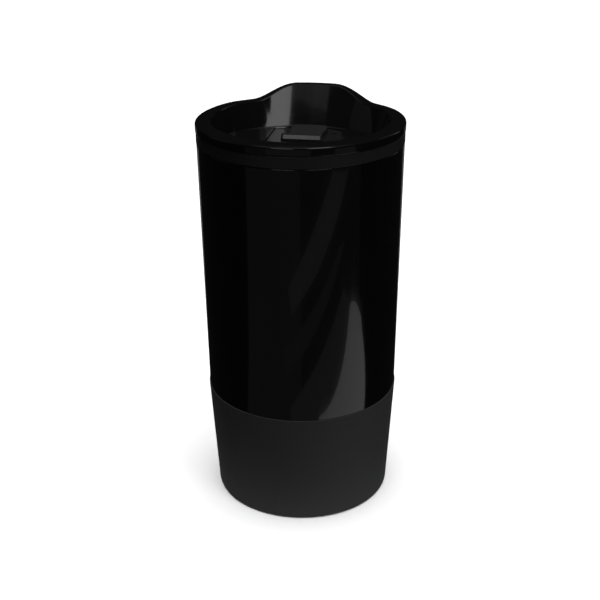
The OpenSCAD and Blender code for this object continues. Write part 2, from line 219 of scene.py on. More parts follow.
# What each finish is made of. "colour" names its hex colour, and "shader" holds the values that are the
# same all over it. "tone" and "gloss" are (cell in mm, detail, low, high): noise that varies the colour's
# lightness between two factors, and the roughness between two values. "bumps" are (cell in mm, detail,
# depth in mm, strength).
FINISHES = {
    # Black stoving lacquer on drawn steel: deep, wet-looking, with the faint orange peel of a sprayed coat.
    "lacquered_steel": {
        "colour": "lacquer",
        "shader": {"Coat Weight": 1.0, "Coat Roughness": 0.025, "Coat IOR": 1.5},
        "tone": (14, 4, 0.9, 1.1),
        "gloss": (14, 4, 0.10, 0.16),
        "bumps": [(9, 1, 0.02, 0.3), (1.6, 1, 0.004, 0.35)],
    },
    # Polypropylene from a finely blasted mould: a soft, broad shine over a grain that is just visible.
    # The real grain is about 0.05 mm; it is drawn at 0.3 mm so that it shows.
    "satin_polypropylene": {
        "colour": "collar",
        "shader": {"IOR": 1.49},
        "tone": (9, 3, 0.92, 1.08),
        "gloss": (9, 3, 0.34, 0.42),
        "bumps": [(0.3, 2, 0.012, 0.5)],
    },
    # Compression-moulded rubber: no gloss, a dry charcoal bloom and a fine spark-eroded grain.
    # The real pits are about 0.08 mm; they are drawn at 0.35 mm so that they show.
    "moulded_rubber": {
        "colour": "sleeve",
        "shader": {
            "IOR": 1.5,
            "Sheen Weight": 0.05,
            "Sheen Roughness": 0.5,
            "Sheen Tint": linear("#8A8A8C"),
        },
        "tone": (16, 4, 0.93, 1.08),
        "gloss": (0.35, 3, 0.66, 0.8),
        "bumps": [(0.35, 3, 0.03, 0.55)],
    },
    # ABS from a polished mould: a clear mirror gloss, with the slow waves that shrinkage leaves in it.
    "polished_abs": {
        "colour": "lid",
        "shader": {"IOR": 1.53, "Coat Weight": 0.4, "Coat Roughness": 0.03},
        "tone": (6, 4, 0.92, 1.08),
        "gloss": (6, 4, 0.07, 0.13),
        "bumps": [(12, 1, 0.05, 0.4)],
    },
    # ABS from a lapped mould, handled more than the lid: a satin gloss, hazed by fingers.
    "slider_abs": {
        "colour": "slider",
        "shader": {"IOR": 1.53},
        "tone": (4, 4, 0.92, 1.1),
        "gloss": (4, 4, 0.14, 0.22),
        "bumps": [(4, 4, 0.004, 0.3)],
    },
    # Plain moulded polypropylene: a waxy half-gloss with flow marks.
    "liner_polypropylene": {
        "colour": "liner",
        "shader": {"IOR": 1.49},
        "tone": (11, 5, 0.9, 1.1),
        "gloss": (11, 5, 0.36, 0.5),
        "bumps": [(11, 5, 0.03, 0.3)],
    },
    # Black silicone rubber: matt and slightly soft to the eye, and it holds a little dust.
    "dark_silicone": {
        "colour": "silicone",
        "shader": {"IOR": 1.42},
        "tone": (0.8, 3, 0.9, 1.15),
        "gloss": (0.8, 3, 0.5, 0.66),
        "bumps": [(0.8, 3, 0.01, 0.4)],
    },
    # Unpigmented silicone: milky, with light that sinks in before it comes back.
    "clear_silicone": {
        "colour": "clear",
        "shader": {"IOR": 1.42, "Subsurface Weight": 0.35, "Subsurface Radius": (0.002, 0.002, 0.0018)},
        "tone": (3, 3, 0.94, 1.04),
        "gloss": (3, 3, 0.38, 0.5),
    },
    # Acetal: hard, slippery and evenly half-matt, with faint flow lines.
    "moulded_acetal": {
        "colour": "acetal",
        "shader": {"IOR": 1.48},
        "tone": (2, 3, 0.93, 1.08),
        "gloss": (2, 3, 0.34, 0.44),
    },
    # White wall paint on board, rolled on: even and dull, with the faintest cloud.
    "painted_floor": {
        "colour": "floor",
        "shader": {"Roughness": 0.9, "Specular IOR Level": 0.1},
        "tone": (30, 3, 0.99, 1.01),
    },
}


def finish_named(name):
    """The material of that name, made the first time that it is asked for."""
    if name in bpy.data.materials:
        return bpy.data.materials[name]
    made_of = FINISHES[name]
    material = bpy.data.materials.new(name)
    material.use_nodes = True
    tree = material.node_tree
    tree.nodes.clear()
    shader = add_node(tree, "ShaderNodeBsdfPrincipled", made_of["shader"])
    add_node(tree, "ShaderNodeOutputMaterial", {"Surface": shader.outputs["BSDF"]})
    place = add_node(tree, "ShaderNodeTexCoord").outputs["Object"]
    noises = {}

    def noise(cell, detail):
        """Noise whose cells are about the given size in mm, on the object's own coordinates."""
        if (cell, detail) not in noises:
            inputs = {"Vector": place, "Scale": 1 / (cell * MM), "Detail": detail, "Roughness": 0.55}
            noises[cell, detail] = add_node(tree, "ShaderNodeTexNoise", inputs).outputs["Fac"]
        return noises[cell, detail]

    cell, detail, low, high = made_of["tone"]
    full = linear(getattr(bpy.context.scene.tumbler_finishes, made_of["colour"]))
    dark, light = ([c * factor for c in full[:3]] + [1.0] for factor in (low, high))
    inputs = {"Factor": noise(cell, detail), "A": dark, "B": light}
    tone = add_node(tree, "ShaderNodeMix", inputs, data_type="RGBA")
    tree.links.new(tone.outputs["Result"], shader.inputs["Base Color"])
    if "gloss" in made_of:
        cell, detail, low, high = made_of["gloss"]
        # Noise keeps to the middle of its range, so that part is spread over the whole of the roughness.
        inputs = {"Value": noise(cell, detail), "From Min": 0.3, "From Max": 0.7}
        inputs |= {"To Min": low, "To Max": high}
        gloss = add_node(tree, "ShaderNodeMapRange", inputs)
        tree.links.new(gloss.outputs["Result"], shader.inputs["Roughness"])
    bump = None
    for cell, detail, depth, strength in made_of.get("bumps", ()):
        inputs = {"Height": noise(cell, detail), "Distance": depth * MM, "Strength": strength}
        if bump is not None:
            inputs["Normal"] = bump
        bump = add_node(tree, "ShaderNodeBump", inputs).outputs["Normal"]
    if bump is not None:
        tree.links.new(bump, shader.inputs["Normal"])
        if "Coat Weight" in made_of["shader"]:
            tree.links.new(bump, shader.inputs["Coat Normal"])
    return material


# ---------------------------------------------------------------- turned pieces


def bow(start, pull, end, share):
    """Point at a share of the way along a curve from start to end that is drawn towards pull."""
    return start * (1 - share) ** 2 + pull * (2 * share * (1 - share)) + end * share**2


def fillet(before, corner, after, radius, steps):
    """Points of a rounded corner, with a support point just outside each end of the arc."""
    to_before = (before - corner).normalized()
    to_after = (after - corner).normalized()
    half = to_before.angle(to_after) / 2
    if radius <= 0 or math.pi / 2 - half < 0.01:
        return [corner.copy() for _ in range(steps + 3)]
    reach = radius / math.tan(half)
    limit = 0.45 * min((before - corner).length, (after - corner).length)
    reach = min(reach, limit)
    support = min(1.35 * reach, 1.05 * limit)
    start = corner + to_before * reach
    end = corner + to_after * reach
    # A bow between the two tangent points is within a hair of the true arc.
    arc = [bow(start, corner, end, i / steps) for i in range(steps + 1)]
    return [corner + to_before * support, *arc, corner + to_after * support]


def rounded(corners, closed, steps=5):
    """Turns (radius, height, corner radius) corners into the points of a profile with rounded corners."""
    spots = [Vector((c[0], c[1])) for c in corners]
    points = []
    for i, (_, _, corner_r) in enumerate(corners):
        if not closed and i in (0, len(corners) - 1):
            points.append(spots[i])
            continue
        points += fillet(spots[i - 1], spots[i], spots[(i + 1) % len(spots)], corner_r, steps)
    if closed:
        points.append(points[0].copy())
    return points


def turning_tree():
    """Geometry Nodes tree that turns a profile, a line of points in the XZ plane, round the Z axis."""
    name = "turned_piece"
    if name in bpy.data.node_groups:
        return bpy.data.node_groups[name]
    tree = bpy.data.node_groups.new(name, "GeometryNodeTree")
    face = tree.interface
    face.new_socket("Profile", in_out="INPUT", socket_type="NodeSocketGeometry")
    steps = face.new_socket("Segments", in_out="INPUT", socket_type="NodeSocketInt")
    steps.default_value = 128
    weld = face.new_socket("Weld distance", in_out="INPUT", socket_type="NodeSocketFloat")
    weld.default_value = 0.001 * MM
    face.new_socket("Finish", in_out="INPUT", socket_type="NodeSocketMaterial")
    face.new_socket("Piece", in_out="OUTPUT", socket_type="NodeSocketGeometry")
    given = add_node(tree, "NodeGroupInput").outputs
    count = add_node(
        tree, "GeometryNodeAttributeDomainSize", {"Geometry": given["Profile"]}, component="MESH"
    ).outputs["Point Count"]
    around = add_node(tree, "ShaderNodeMath", {0: given["Segments"], 1: 1.0}, operation="ADD").outputs[0]
    grid = add_node(tree, "GeometryNodeMeshGrid", {"Vertices X": count, "Vertices Y": around}).outputs[0]
    index = add_node(tree, "GeometryNodeInputIndex").outputs[0]
    share = add_node(tree, "ShaderNodeMath", {0: index, 1: around}, operation="DIVIDE").outputs[0]
    row = add_node(tree, "ShaderNodeMath", {0: share}, operation="FLOOR").outputs[0]
    step = add_node(tree, "ShaderNodeMath", {0: index, 1: around}, operation="MODULO").outputs[0]
    turn = add_node(tree, "ShaderNodeMath", {0: step, 1: given["Segments"]}, operation="DIVIDE").outputs[0]
    angle = add_node(tree, "ShaderNodeMath", {0: turn, 1: math.tau}, operation="MULTIPLY").outputs[0]
    place = add_node(tree, "GeometryNodeInputPosition").outputs[0]
    point = add_node(
        tree,
        "GeometryNodeSampleIndex",
        {"Geometry": given["Profile"], "Value": place, "Index": row},
        data_type="FLOAT_VECTOR",
        domain="POINT",
    ).outputs["Value"]
    turned = add_node(
        tree, "ShaderNodeVectorRotate", {"Vector": point, "Angle": angle}, rotation_type="Z_AXIS"
    ).outputs["Vector"]
    placed = add_node(tree, "GeometryNodeSetPosition", {"Geometry": grid, "Position": turned}).outputs[0]
    welded = add_node(
        tree, "GeometryNodeMergeByDistance", {"Geometry": placed, "Distance": given["Weld distance"]}
    ).outputs["Geometry"]
    smooth = add_node(tree, "GeometryNodeSetShadeSmooth", {"Geometry": welded}).outputs["Geometry"]
    whole = add_node(tree, "GeometryNodeRealizeInstances", {"Geometry": smooth}).outputs["Geometry"]
    dressed = add_node(
        tree, "GeometryNodeSetMaterial", {"Geometry": whole, "Material": given["Finish"]}
    ).outputs["Geometry"]
    add_node(tree, "NodeGroupOutput", {"Piece": dressed})
    return tree


def socket_id(tree, name):
    """Identifier of a tree's input, which is what a modifier's input is set by."""
    for item in tree.interface.items_tree:
        if item.item_type == "SOCKET" and item.in_out == "INPUT" and item.name == name:
            return item.identifier
    raise KeyError(name)


def plain_copy(made, name):
    """Replaces an object by a plain mesh of what its modifiers make."""
    bpy.context.view_layer.update()
    graph = bpy.context.evaluated_depsgraph_get()
    mesh = bpy.data.meshes.new_from_object(made.evaluated_get(graph))
    bpy.data.objects.remove(made)
    mesh.name = name
    plain = bpy.data.objects.new(name, mesh)
    bpy.context.scene.collection.objects.link(plain)
    return plain


def face_outwards(mesh):
    """Turns every face of a closed mesh outwards."""
    work = bmesh.new()
    work.from_mesh(mesh)
    bmesh.ops.recalc_face_normals(work, faces=work.faces)
    if work.calc_volume(signed=True) < 0:
        bmesh.ops.reverse_faces(work, faces=work.faces)
    work.to_mesh(mesh)
    work.free()


def turned(name, corners, finish, closed=True, steps=5):
    """A piece turned round the tumbler's axis from its rounded profile."""
    points = rounded(corners, closed, steps)
    mesh = bpy.data.meshes.new(name + "_profile")
    mesh.from_pydata([(p.x, 0, p.y) for p in points], [(i, i + 1) for i in range(len(points) - 1)], [])
    profile = bpy.data.objects.new(name + "_profile", mesh)
    bpy.context.scene.collection.objects.link(profile)
    tree = turning_tree()
    modifier = profile.modifiers.new("turn", "NODES")
    modifier.node_group = tree
    modifier[socket_id(tree, "Segments")] = bpy.context.scene.tumbler_body.segments
    modifier[socket_id(tree, "Finish")] = finish_named(finish)
    piece = plain_copy(profile, name)
    face_outwards(piece.data)
    piece.data.set_sharp_from_angle(angle=math.radians(40))
    return piece


def stand_for(piece, node, body):
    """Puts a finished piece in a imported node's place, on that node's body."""
    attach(piece, body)
    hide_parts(node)


class BodyShape:
    """Radii and heights that the body's pieces share, worked out from the sizes and the frame."""

    def __init__(self, sizes):
        self.sleeve_top = top_of("grip_sleeve")
        self.sleeve_top_r = radius_of("grip_sleeve")
        self.shell_top = top_of("outer_shell")
        self.collar_r = radius_of("rim_collar")
        self.collar_top = top_of("rim_collar")
        self.shell_top_r = radius_of("outer_shell")
        self.liner_foot = foot_of("inner_liner")
        self.cup_foot = foot_of("base_cup")
        self.cup_top = top_of("base_cup")
        self.sizes = sizes

    def sleeve_r(self, z):
        """Outer radius of the grip sleeve at a height."""
        share = z / self.sleeve_top
        return self.sizes.foot_r + (self.sleeve_top_r - self.sizes.foot_r) * share

    def tucked_r(self, z):
        """Outer radius of the shell inside the sleeve at a height."""
        return self.sleeve_r(z) - self.sizes.sleeve_wall - self.sizes.bond_gap


class TUMBLER_OT_shell(bpy.types.Operator):
    """Painted steel shell, with its hem and the step for the sleeve."""

    bl_idname = "tumbler.shell"
    bl_label = "Painted shell"

    def execute(self, context):
        sizes = context.scene.tumbler_body
        shape = BodyShape(sizes)
        wall = sizes.shell_wall
        foot = shape.cup_foot
        step = shape.sleeve_top - sizes.step_height
        low_r = sizes.shell_low_r
        hem_r = shape.shell_top_r - sizes.hem_width
        corners = [
            (shape.tucked_r(foot), foot, 0.1 * MM),
            (shape.tucked_r(step), step + 2 * sizes.bond_gap, 0.1 * MM),
            (low_r, shape.sleeve_top + sizes.bond_gap, 0.25 * MM),
            (shape.shell_top_r, shape.shell_top, 0.3 * MM),
            (hem_r, shape.shell_top, 0.1 * MM),
            (hem_r, shape.shell_top - wall, 0.1 * MM),
            (shape.shell_top_r - wall, shape.shell_top - wall, 0.3 * MM),
            (low_r - wall, shape.sleeve_top + wall, 0.3 * MM),
            (shape.tucked_r(step) - wall, step + wall, 0.3 * MM),
            (shape.tucked_r(foot) - wall, foot, 0.1 * MM),
        ]
        stand_for(turned("painted_shell", corners, "lacquered_steel"), "outer_shell", "tumbler")
        return {"FINISHED"}


class TUMBLER_OT_sleeve(bpy.types.Operator):
    """Rubber grip sleeve, with its foot turned in under the shell."""

    bl_idname = "tumbler.sleeve"
    bl_label = "Grip sleeve"

    def execute(self, context):
        sizes = context.scene.tumbler_body
        shape = BodyShape(sizes)
        top = shape.sleeve_top
        step = top - sizes.step_height
        heel_r = sizes.foot_r - sizes.foot_width
        corners = [
            (heel_r, 0, 0.4 * MM),
            (sizes.foot_r, 0, sizes.foot_round),
            (shape.sleeve_top_r, top, 0.3 * MM),
            (sizes.shell_low_r, top, 0.02 * MM),
            (shape.sleeve_r(step) - sizes.sleeve_wall, step, 0.1 * MM),
            (shape.sleeve_r(sizes.foot_height) - sizes.sleeve_wall, sizes.foot_height, 0.2 * MM),
            (heel_r, sizes.foot_height, 0.3 * MM),
        ]
        stand_for(turned("rubber_sleeve", corners, "moulded_rubber"), "grip_sleeve", "tumbler")
        return {"FINISHED"}


class TUMBLER_OT_collar(bpy.types.Operator):
    """Collar that caps the shell and carries the liner."""

    bl_idname = "tumbler.collar"
    bl_label = "Rim collar"

    def execute(self, context):
        sizes = context.scene.tumbler_body
        shape = BodyShape(sizes)
        gap = sizes.bond_gap
        skirt = shape.shell_top - sizes.skirt_height
        bore_r = sizes.liner_mouth_r + sizes.liner_wall + gap
        seat_r = bore_r + 1.2 * MM + gap
        seat = shape.collar_top - sizes.flange_height - gap
        neck_r = shape.shell_top_r - sizes.hem_width - gap
        bead_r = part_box("collar_seal")[1].x
        ring_low = foot_of("collar_seal") - gap
        ring_high = top_of("collar_seal") + gap
        hem_low = shape.shell_top - sizes.shell_wall - gap
        corners = [
            (bore_r, skirt, 0.3 * MM),
            (bead_r, skirt, 0.3 * MM),
            (bead_r, ring_low, 0.15 * MM),
            (neck_r, ring_low, 0.1 * MM),
            (neck_r, ring_high, 0.1 * MM),
            (bead_r, ring_high, 0.15 * MM),
            (bead_r, hem_low - (bead_r - neck_r), 0.3 * MM),
            (neck_r, hem_low, 0.1 * MM),
            (neck_r, shape.shell_top + gap, 0.1 * MM),
            (shape.collar_r, shape.shell_top + gap, 0.4 * MM),
            (shape.collar_r, shape.collar_top, 0.4 * MM),
            (seat_r, shape.collar_top, 0.15 * MM),
            (seat_r, seat, 0.1 * MM),
            (bore_r, seat, 0.15 * MM),
        ]
        stand_for(turned("satin_collar", corners, "satin_polypropylene"), "rim_collar", "tumbler")
        return {"FINISHED"}


class TUMBLER_OT_liner(bpy.types.Operator):
    """Liner that holds the drink."""

    bl_idname = "tumbler.liner"
    bl_label = "Liner"

    def execute(self, context):
        sizes = context.scene.tumbler_body
        shape = BodyShape(sizes)
        wall = sizes.liner_wall
        foot = shape.liner_foot
        mouth = shape.collar_top - sizes.mouth_height
        flange_r = sizes.liner_mouth_r + wall + sizes.bond_gap + 1.2 * MM
        flange = shape.collar_top - sizes.flange_height
        corners = [
            (0, foot, 0),
            (sizes.liner_foot_r, foot, 5 * MM),
            (sizes.liner_mouth_r + wall, mouth, 4 * MM),
            (sizes.liner_mouth_r + wall, flange, 0.2 * MM),
            (flange_r, flange, 0.15 * MM),
            (flange_r, shape.collar_top, 0.2 * MM),
            (sizes.liner_mouth_r, shape.collar_top, 0.6 * MM),
            (sizes.liner_mouth_r, mouth, 4 * MM),
            (sizes.liner_foot_r - wall, foot + wall, 3.5 * MM),
            (0, foot + wall, 0),
        ]
        piece = turned("drink_liner", corners, "liner_polypropylene", closed=False, steps=8)
        stand_for(piece, "inner_liner", "tumbler")
        return {"FINISHED"}


class TUMBLER_OT_base(bpy.types.Operator):
    """Base cup that closes the shell's lower end, with a shallow ring moulded in its underside."""

    bl_idname = "tumbler.base"
    bl_label = "Base cup"

    def execute(self, context):
        sizes = context.scene.tumbler_body
        shape = BodyShape(sizes)
        foot = shape.cup_foot
        cup_r = shape.tucked_r(foot) - sizes.shell_wall - sizes.bond_gap
        slope = (shape.sleeve_top_r - sizes.foot_r) / shape.sleeve_top
        seal_low, seal_high = foot_of("base_seal") - sizes.bond_gap, top_of("base_seal") + sizes.bond_gap
        groove_r = cup_r - 1.2 * MM
        plate = foot + sizes.base_height
        pad_foot, pad_top = foot_of("liner_pad") - sizes.bond_gap, top_of("liner_pad")
        seat_r = radius_of("liner_pad") + 2 * MM + sizes.bond_gap
        seat_top = (pad_foot + pad_top) / 2
        top_r = cup_r + slope * (shape.cup_top - foot)
        corners = [
            (0, foot + 0.5 * MM, 0),
            (4 * MM, foot + 0.5 * MM, 0.2 * MM),
            (4.6 * MM, foot, 0.2 * MM),
            (22 * MM, foot, 0.2 * MM),
            (22.6 * MM, foot + 0.5 * MM, 0.2 * MM),
            (25 * MM, foot + 0.5 * MM, 0.2 * MM),
            (25.6 * MM, foot, 0.2 * MM),
            (cup_r, foot, 0.3 * MM),
            (cup_r + slope * (seal_low - foot), seal_low, 0.1 * MM),
            (groove_r, seal_low, 0.1 * MM),
            (groove_r, seal_high, 0.1 * MM),
            (cup_r + slope * (seal_high - foot), seal_high, 0.1 * MM),
            (top_r, shape.cup_top, 0.3 * MM),
            (top_r - sizes.base_wall, shape.cup_top, 0.3 * MM),
            (cup_r - sizes.base_wall, plate, 0.5 * MM),
            (seat_r, plate, 0.3 * MM),
            (seat_r, seat_top, 0.3 * MM),
            (seat_r - 2 * MM, seat_top, 0.2 * MM),
            (seat_r - 2 * MM, pad_foot, 0.1 * MM),
            (seat_r - 4 * MM, pad_foot, 0.3 * MM),
            (seat_r - 4 * MM, plate, 0.3 * MM),
            (0, plate, 0),
        ]
        piece = turned("base_closure", corners, "liner_polypropylene", closed=False)
        stand_for(piece, "base_cup", "tumbler")
        return {"FINISHED"}


class TUMBLER_OT_gasket(bpy.types.Operator):
    """Two-lip silicone gasket in the lid's groove."""

    bl_idname = "tumbler.gasket"
    bl_label = "Lid gasket"

    def execute(self, context):
        lid = context.scene.tumbler_lid
        gap = context.scene.tumbler_body.bond_gap
        low, high = foot_of("lid_gasket"), top_of("lid_gasket")
        lip_r = radius_of("lid_gasket")
        face_r = lid.plug_r - gap
        back_r = lid.plug_r - lid.groove_depth + gap
        lip = 0.9 * MM
        corners = [
            (back_r, low, 0.1 * MM),
            (face_r, low, 0.05 * MM),
            (lip_r, low + lip / 3, 0.12 * MM),
            (lip_r, low + 2 * lip / 3, 0.12 * MM),
            (face_r, low + lip, 0.1 * MM),
            (face_r, high - lip, 0.1 * MM),
            (lip_r, high - 2 * lip / 3, 0.12 * MM),
            (lip_r, high - lip / 3, 0.12 * MM),
            (face_r, high, 0.05 * MM),
            (back_r, high, 0.1 * MM),
        ]
        stand_for(turned("lip_gasket", corners, "dark_silicone", steps=4), "lid_gasket", "gasket")
        return {"FINISHED"}


# ---------------------------------------------------------------- lid


def ease(value):
    """Smooth step from 0 to 1."""
    t = max(0.0, min(1.0, value))
    return (1 - math.cos(math.pi * t)) / 2


def soft_least(a, b, blend):
    """The smaller of two lengths, rounded off where they are within a blend of each other."""
    mix = max(0.0, blend - abs(a - b)) / blend
    return min(a, b) - mix * mix * blend / 4


class LidShape:
    """The lid's rule: how its section changes with the angle from the sip side."""

    SIP_SLOPE = 0.73
    MOUTH_FLARE = 0.66

    def __init__(self, sizes):
        self.s = sizes
        self.seat = foot_of_flange()
        self.lid_r = radius_of("lid_body")
        self.collar_top = top_of("rim_collar")
        self.rim_top = self.collar_top + sizes.rim_height
        self.sip_top = top_of("lid_body")
        self.floor = self.rim_top - sizes.dish_depth
        self.floor_low = self.floor - sizes.floor_height
        self.plug_low = foot_of("lid_body")
        self.bore_r = sizes.plug_r - sizes.plug_wall
        self.mouth = self.rim_top - 0.35 * MM

    def lift(self, angle):
        """0 on the plain rim, 1 on the sip side's level top."""
        return 1 - ease((abs(angle) - self.s.sip_flat) / (self.s.sip_foot - self.s.sip_flat))

    def rim_z(self, angle):
        """Height of the rim's crest."""
        beside = (abs(angle) - self.s.sip_foot) / math.radians(13)
        dip = self.s.rim_dip * math.exp(-beside * beside)
        raised = self.rim_top + (self.sip_top - self.rim_top) * self.lift(angle)
        return raised - dip * (1 - self.lift(angle))

    def leaning_r(self, angle, z, thick=0.0):
        """Radius of the sip side's leaning wall, which is a cone about an axis in front of the lid's."""
        cone_r = self.s.sip_foot_y + self.s.sip_shift + self.SIP_SLOPE * (z - self.floor)
        cone_r += thick * math.hypot(1, self.SIP_SLOPE)
        shift = self.s.sip_shift
        return math.sqrt(max(cone_r**2 - (shift * math.sin(angle)) ** 2, 0)) - shift * math.cos(angle)

    def dish_r(self, angle, z):
        """Radius of the dish's wall."""
        taper = (self.s.dish_mouth_r - self.s.dish_floor_r) / (self.mouth - self.floor)
        plain = self.s.dish_floor_r + taper * (z - self.floor)
        if z > self.mouth:
            plain = self.s.dish_mouth_r + self.MOUTH_FLARE * (z - self.mouth)
        return soft_least(plain, self.leaning_r(angle, z), 1.2 * MM)

    def section(self, angle):
        """Points of the section, from the dish floor's middle round the outside to the underside."""
        s = self.s
        lift = self.lift(angle)
        top = self.rim_z(angle)
        lip = top - 0.35 * MM
        lip_r = self.dish_r(angle, lip)
        crest_r = lip_r + (0.6 + 0.05 * lift) * (self.lid_r - lip_r)
        side = top - (s.rim_height - s.side_height) * (1 - 0.45 * lift)
        foot_r = soft_least(s.dish_floor_r, self.leaning_r(angle, self.floor), 3 * MM)
        steep = (lip_r - foot_r) / (lip - self.floor)
        wall = [Vector((foot_r + steep * (z - self.floor), z)) for z in self.wall_heights(lip)]
        points = [Vector((foot_r * share, self.floor)) for share in (0.0, 0.25, 0.5, 0.75, 0.93)]
        points += fillet(points[-1], Vector((foot_r, self.floor)), wall[0], 0.7 * MM, 5)
        points += wall
        lip_corner = Vector((lip_r, lip))
        crest = Vector((crest_r, top))
        shoulder = Vector((self.lid_r - 0.02 * MM, side))
        hem = Vector((self.lid_r, self.seat))
        points += fillet(wall[-1], lip_corner, crest, 0.9 * MM, 6)
        points += fillet(lip_corner, crest, shoulder, 6 * MM, 6)
        points += fillet(crest, shoulder, hem, 0.8 * MM, 8)
        under = [
            (self.lid_r, self.seat, 0.4 * MM),
            (s.plug_r, self.seat, 0.3 * MM),
            (s.plug_r, self.collar_top - s.groove_drop + s.groove_height / 2, 0.15 * MM),
            (s.plug_r - s.groove_depth, self.collar_top - s.groove_drop + s.groove_height / 2, 0.15 * MM),
            (s.plug_r - s.groove_depth, self.collar_top - s.groove_drop - s.groove_height / 2, 0.15 * MM),
            (s.plug_r, self.collar_top - s.groove_drop - s.groove_height / 2, 0.15 * MM),
            (s.plug_r, self.plug_low + 1.6 * MM, 0.3 * MM),
            (s.plug_r - 0.8 * MM, self.plug_low, 0.3 * MM),
            (self.bore_r, self.plug_low, 0.4 * MM),
        ]
        spots = [shoulder, *[Vector(u[:2]) for u in under]]
        hollow = self.hollow(angle)
        spots.append(hollow[0])
        for i, corner in enumerate(under, start=1):
            points += fillet(spots[i - 1], spots[i], spots[i + 1], corner[2], 3)
        points += hollow
        inner_r = hollow[-1].x
        points += [Vector((inner_r * share, self.floor_low)) for share in (0.75, 0.5, 0.25, 0.0)]
        return points

    def wall_heights(self, lip):
        """Heights at which the dish's wall is drawn."""
        low, high = self.floor + 1.4 * MM, lip - 1.3 * MM
        return [low + (high - low) * i / 8 for i in range(9)]

    def hollow(self, angle):
        """Points of the space behind the leaning wall, or of the plain corner where there is none."""
        web = 0.8 * MM
        tall = self.collar_top - web - self.floor_low
        heights = [self.floor_low + tall * i / 40 for i in range(41)]
        open_to = self.floor_low
        for z in heights:
            if self.leaning_r(angle, z, self.s.sip_wall) < self.bore_r - 0.1 * MM:
                open_to = z
        if open_to - self.floor_low < 0.6 * MM:
            return [Vector((self.bore_r, self.floor_low)) for _ in range(8)]
        up = [Vector((self.bore_r, self.floor_low)), Vector((self.bore_r, open_to))]
        down = []
        for i in range(6):
            z = open_to + (self.floor_low - open_to) * i / 5
            back_r = self.leaning_r(angle, z, self.s.sip_wall)
            down.append(Vector((min(back_r, self.bore_r - 0.05 * MM), z)))
        return up + down


def foot_of_flange():
    """Height of the lid's seat, a sliding gap above the collar's top."""
    return top_of("rim_collar") + bpy.context.scene.tumbler_body.bond_gap


def swept_lid(shape, segments):
    """Closed mesh of the lid's sections, joined round the axis. Angle 0 is the sip side, at +Y."""
    rings = []
    for k in range(segments):
        angle = math.tau * k / segments
        signed = angle if angle <= math.pi else angle - math.tau
        rings.append([(p.x * math.sin(angle), p.x * math.cos(angle), p.y) for p in shape.section(signed)])
    count = len(rings[0])
    verts = [v for ring in rings for v in ring]
    faces = []
    for k in range(segments):
        after = (k + 1) % segments
        for i in range(count - 1):
            faces.append((k * count + i, k * count + i + 1, after * count + i + 1, after * count + i))
    mesh = bpy.data.meshes.new("drinking_lid")
    mesh.from_pydata(verts, [], faces)
    work = bmesh.new()
    work.from_mesh(mesh)
    bmesh.ops.remove_doubles(work, verts=work.verts, dist=0.002 * MM)
    bmesh.ops.dissolve_degenerate(work, edges=work.edges, dist=0.001 * MM)
    work.to_mesh(mesh)
    work.free()
    face_outwards(mesh)
    return mesh


def slot_outline(length_, width, middle, grow=0.0, steps=14, support=0.0):
    """Outline of a slot with round ends, along X. Support points keep its sides flat to the light."""
    r = width / 2 + grow
    half = (length_ - width) / 2
    points = []
    for side in (1, -1):
        turn = [math.pi * (i / steps - 0.5) for i in range(steps + 1)]
        around = [(half + r * math.cos(t), r * math.sin(t)) for t in turn]
        if support:
            around = [(half - support, -r), *around, (half - support, r)]
        points += [(middle[0] + side * x, middle[1] + side * y) for x, y in around]
    return points


def box_outline(width, depth, middle, grow=0.0, corner=0.6 * MM, steps=5):
    """Outline of a rectangle with rounded corners."""
    points = []
    for quarter in range(4):
        turn = math.pi / 2 * quarter
        sx = 1 if quarter in (0, 3) else -1
        sy = 1 if quarter in (0, 1) else -1
        cx = middle[0] + sx * (width / 2 - corner)
        cy = middle[1] + sy * (depth / 2 - corner)
        for i in range(steps + 1):
            t = turn + math.pi / 2 * i / steps
            points.append((cx + (corner + grow) * math.cos(t), cy + (corner + grow) * math.sin(t)))
    return points


def loft(name, levels):
    """Closed mesh through outlines of equal length, each given with its height, from low to high."""
    count = len(levels[0][1])
    verts = [(x, y, z) for z, outline in levels for x, y in outline]
    faces = [tuple(reversed(range(count)))]
    for row in range(len(levels) - 1):
        for i in range(count):
            j = (i + 1) % count
            faces.append((row * count + i, row * count + j, (row + 1) * count + j, (row + 1) * count + i))
    faces.append(tuple(range((len(levels) - 1) * count, len(levels) * count)))
    mesh = bpy.data.meshes.new(name)
    mesh.from_pydata(verts, [], faces)
    face_outwards(mesh)
    return mesh


def joined(name, mesh, others, operation):
    """A mesh after exact boolean work with others."""
    target = bpy.data.objects.new(name, mesh)
    bpy.context.scene.collection.objects.link(target)
    tools = []
    for other in others:
        tool = bpy.data.objects.new(other.name, other)
        bpy.context.scene.collection.objects.link(tool)
        tools.append(tool)
        modifier = target.modifiers.new(other.name, "BOOLEAN")
        modifier.operation = operation
        modifier.solver = "EXACT"
        modifier.object = tool
    plain = plain_copy(target, name)
    for tool in tools:
        bpy.data.objects.remove(tool)
    return plain


